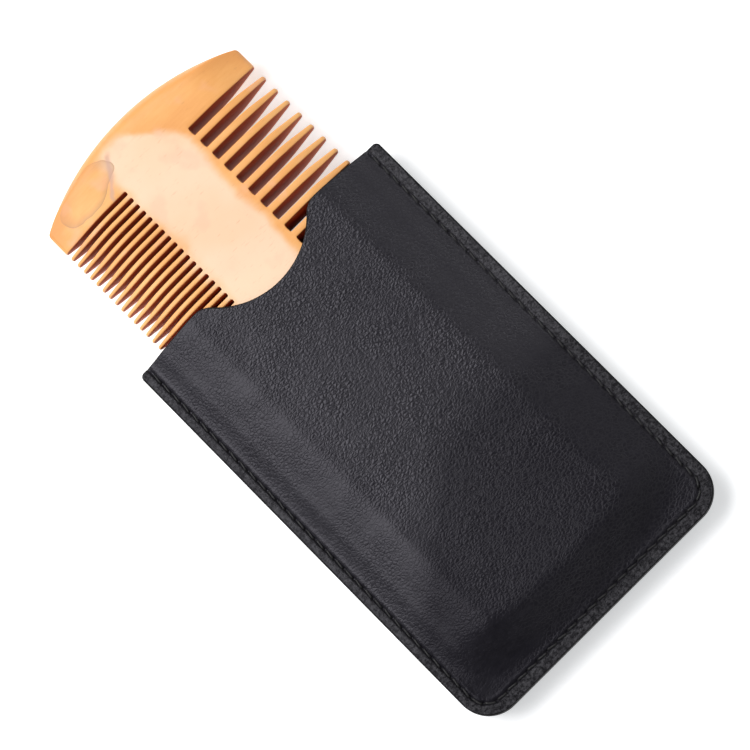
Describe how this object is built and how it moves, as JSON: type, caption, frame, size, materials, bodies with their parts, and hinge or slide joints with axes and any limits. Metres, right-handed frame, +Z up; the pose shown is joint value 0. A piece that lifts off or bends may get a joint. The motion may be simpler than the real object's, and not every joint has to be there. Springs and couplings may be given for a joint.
{
  "type": "beard comb",
  "caption": "Flat wooden beard comb with coarse teeth on one side and fine teeth on the other, sliding in a stitched black sleeve with a thumb notch.",
  "frame": {"origin": "under the middle of the whole object at rest, at the sleeve's lowest face", "axes": "+Z up out of the sleeve's front, +Y along the object from the sleeve's stitched bottom to its mouth and the comb, +X towards the coarse teeth"},
  "size_m": [0.075, 0.1572, 0.0135],
  "materials": {
    "comb_wood": "smooth sanded pear-type wood, light wax sheen",
    "sleeve_leather": "black pebble-grained leather, semi-matte",
    "sleeve_lining": "black smooth backing cloth",
    "sewing_thread": "black twisted polyester thread"
  },
  "bodies": {
    "sleeve": {"front_panel": "sleeve_leather", "front_lining": "sleeve_lining", "back_lining": "sleeve_lining", "back_panel": "sleeve_leather", "needle_thread": "sewing_thread", "bobbin_thread": "sewing_thread"},
    "comb": {"comb": "comb_wood"}
  },
  "joints": [
    {"name": "comb_slide", "type": "slide", "parent": "sleeve", "child": "comb", "axis": [0, 1, 0], "range_m": [-0.0452, 0.06]}
  ]
}
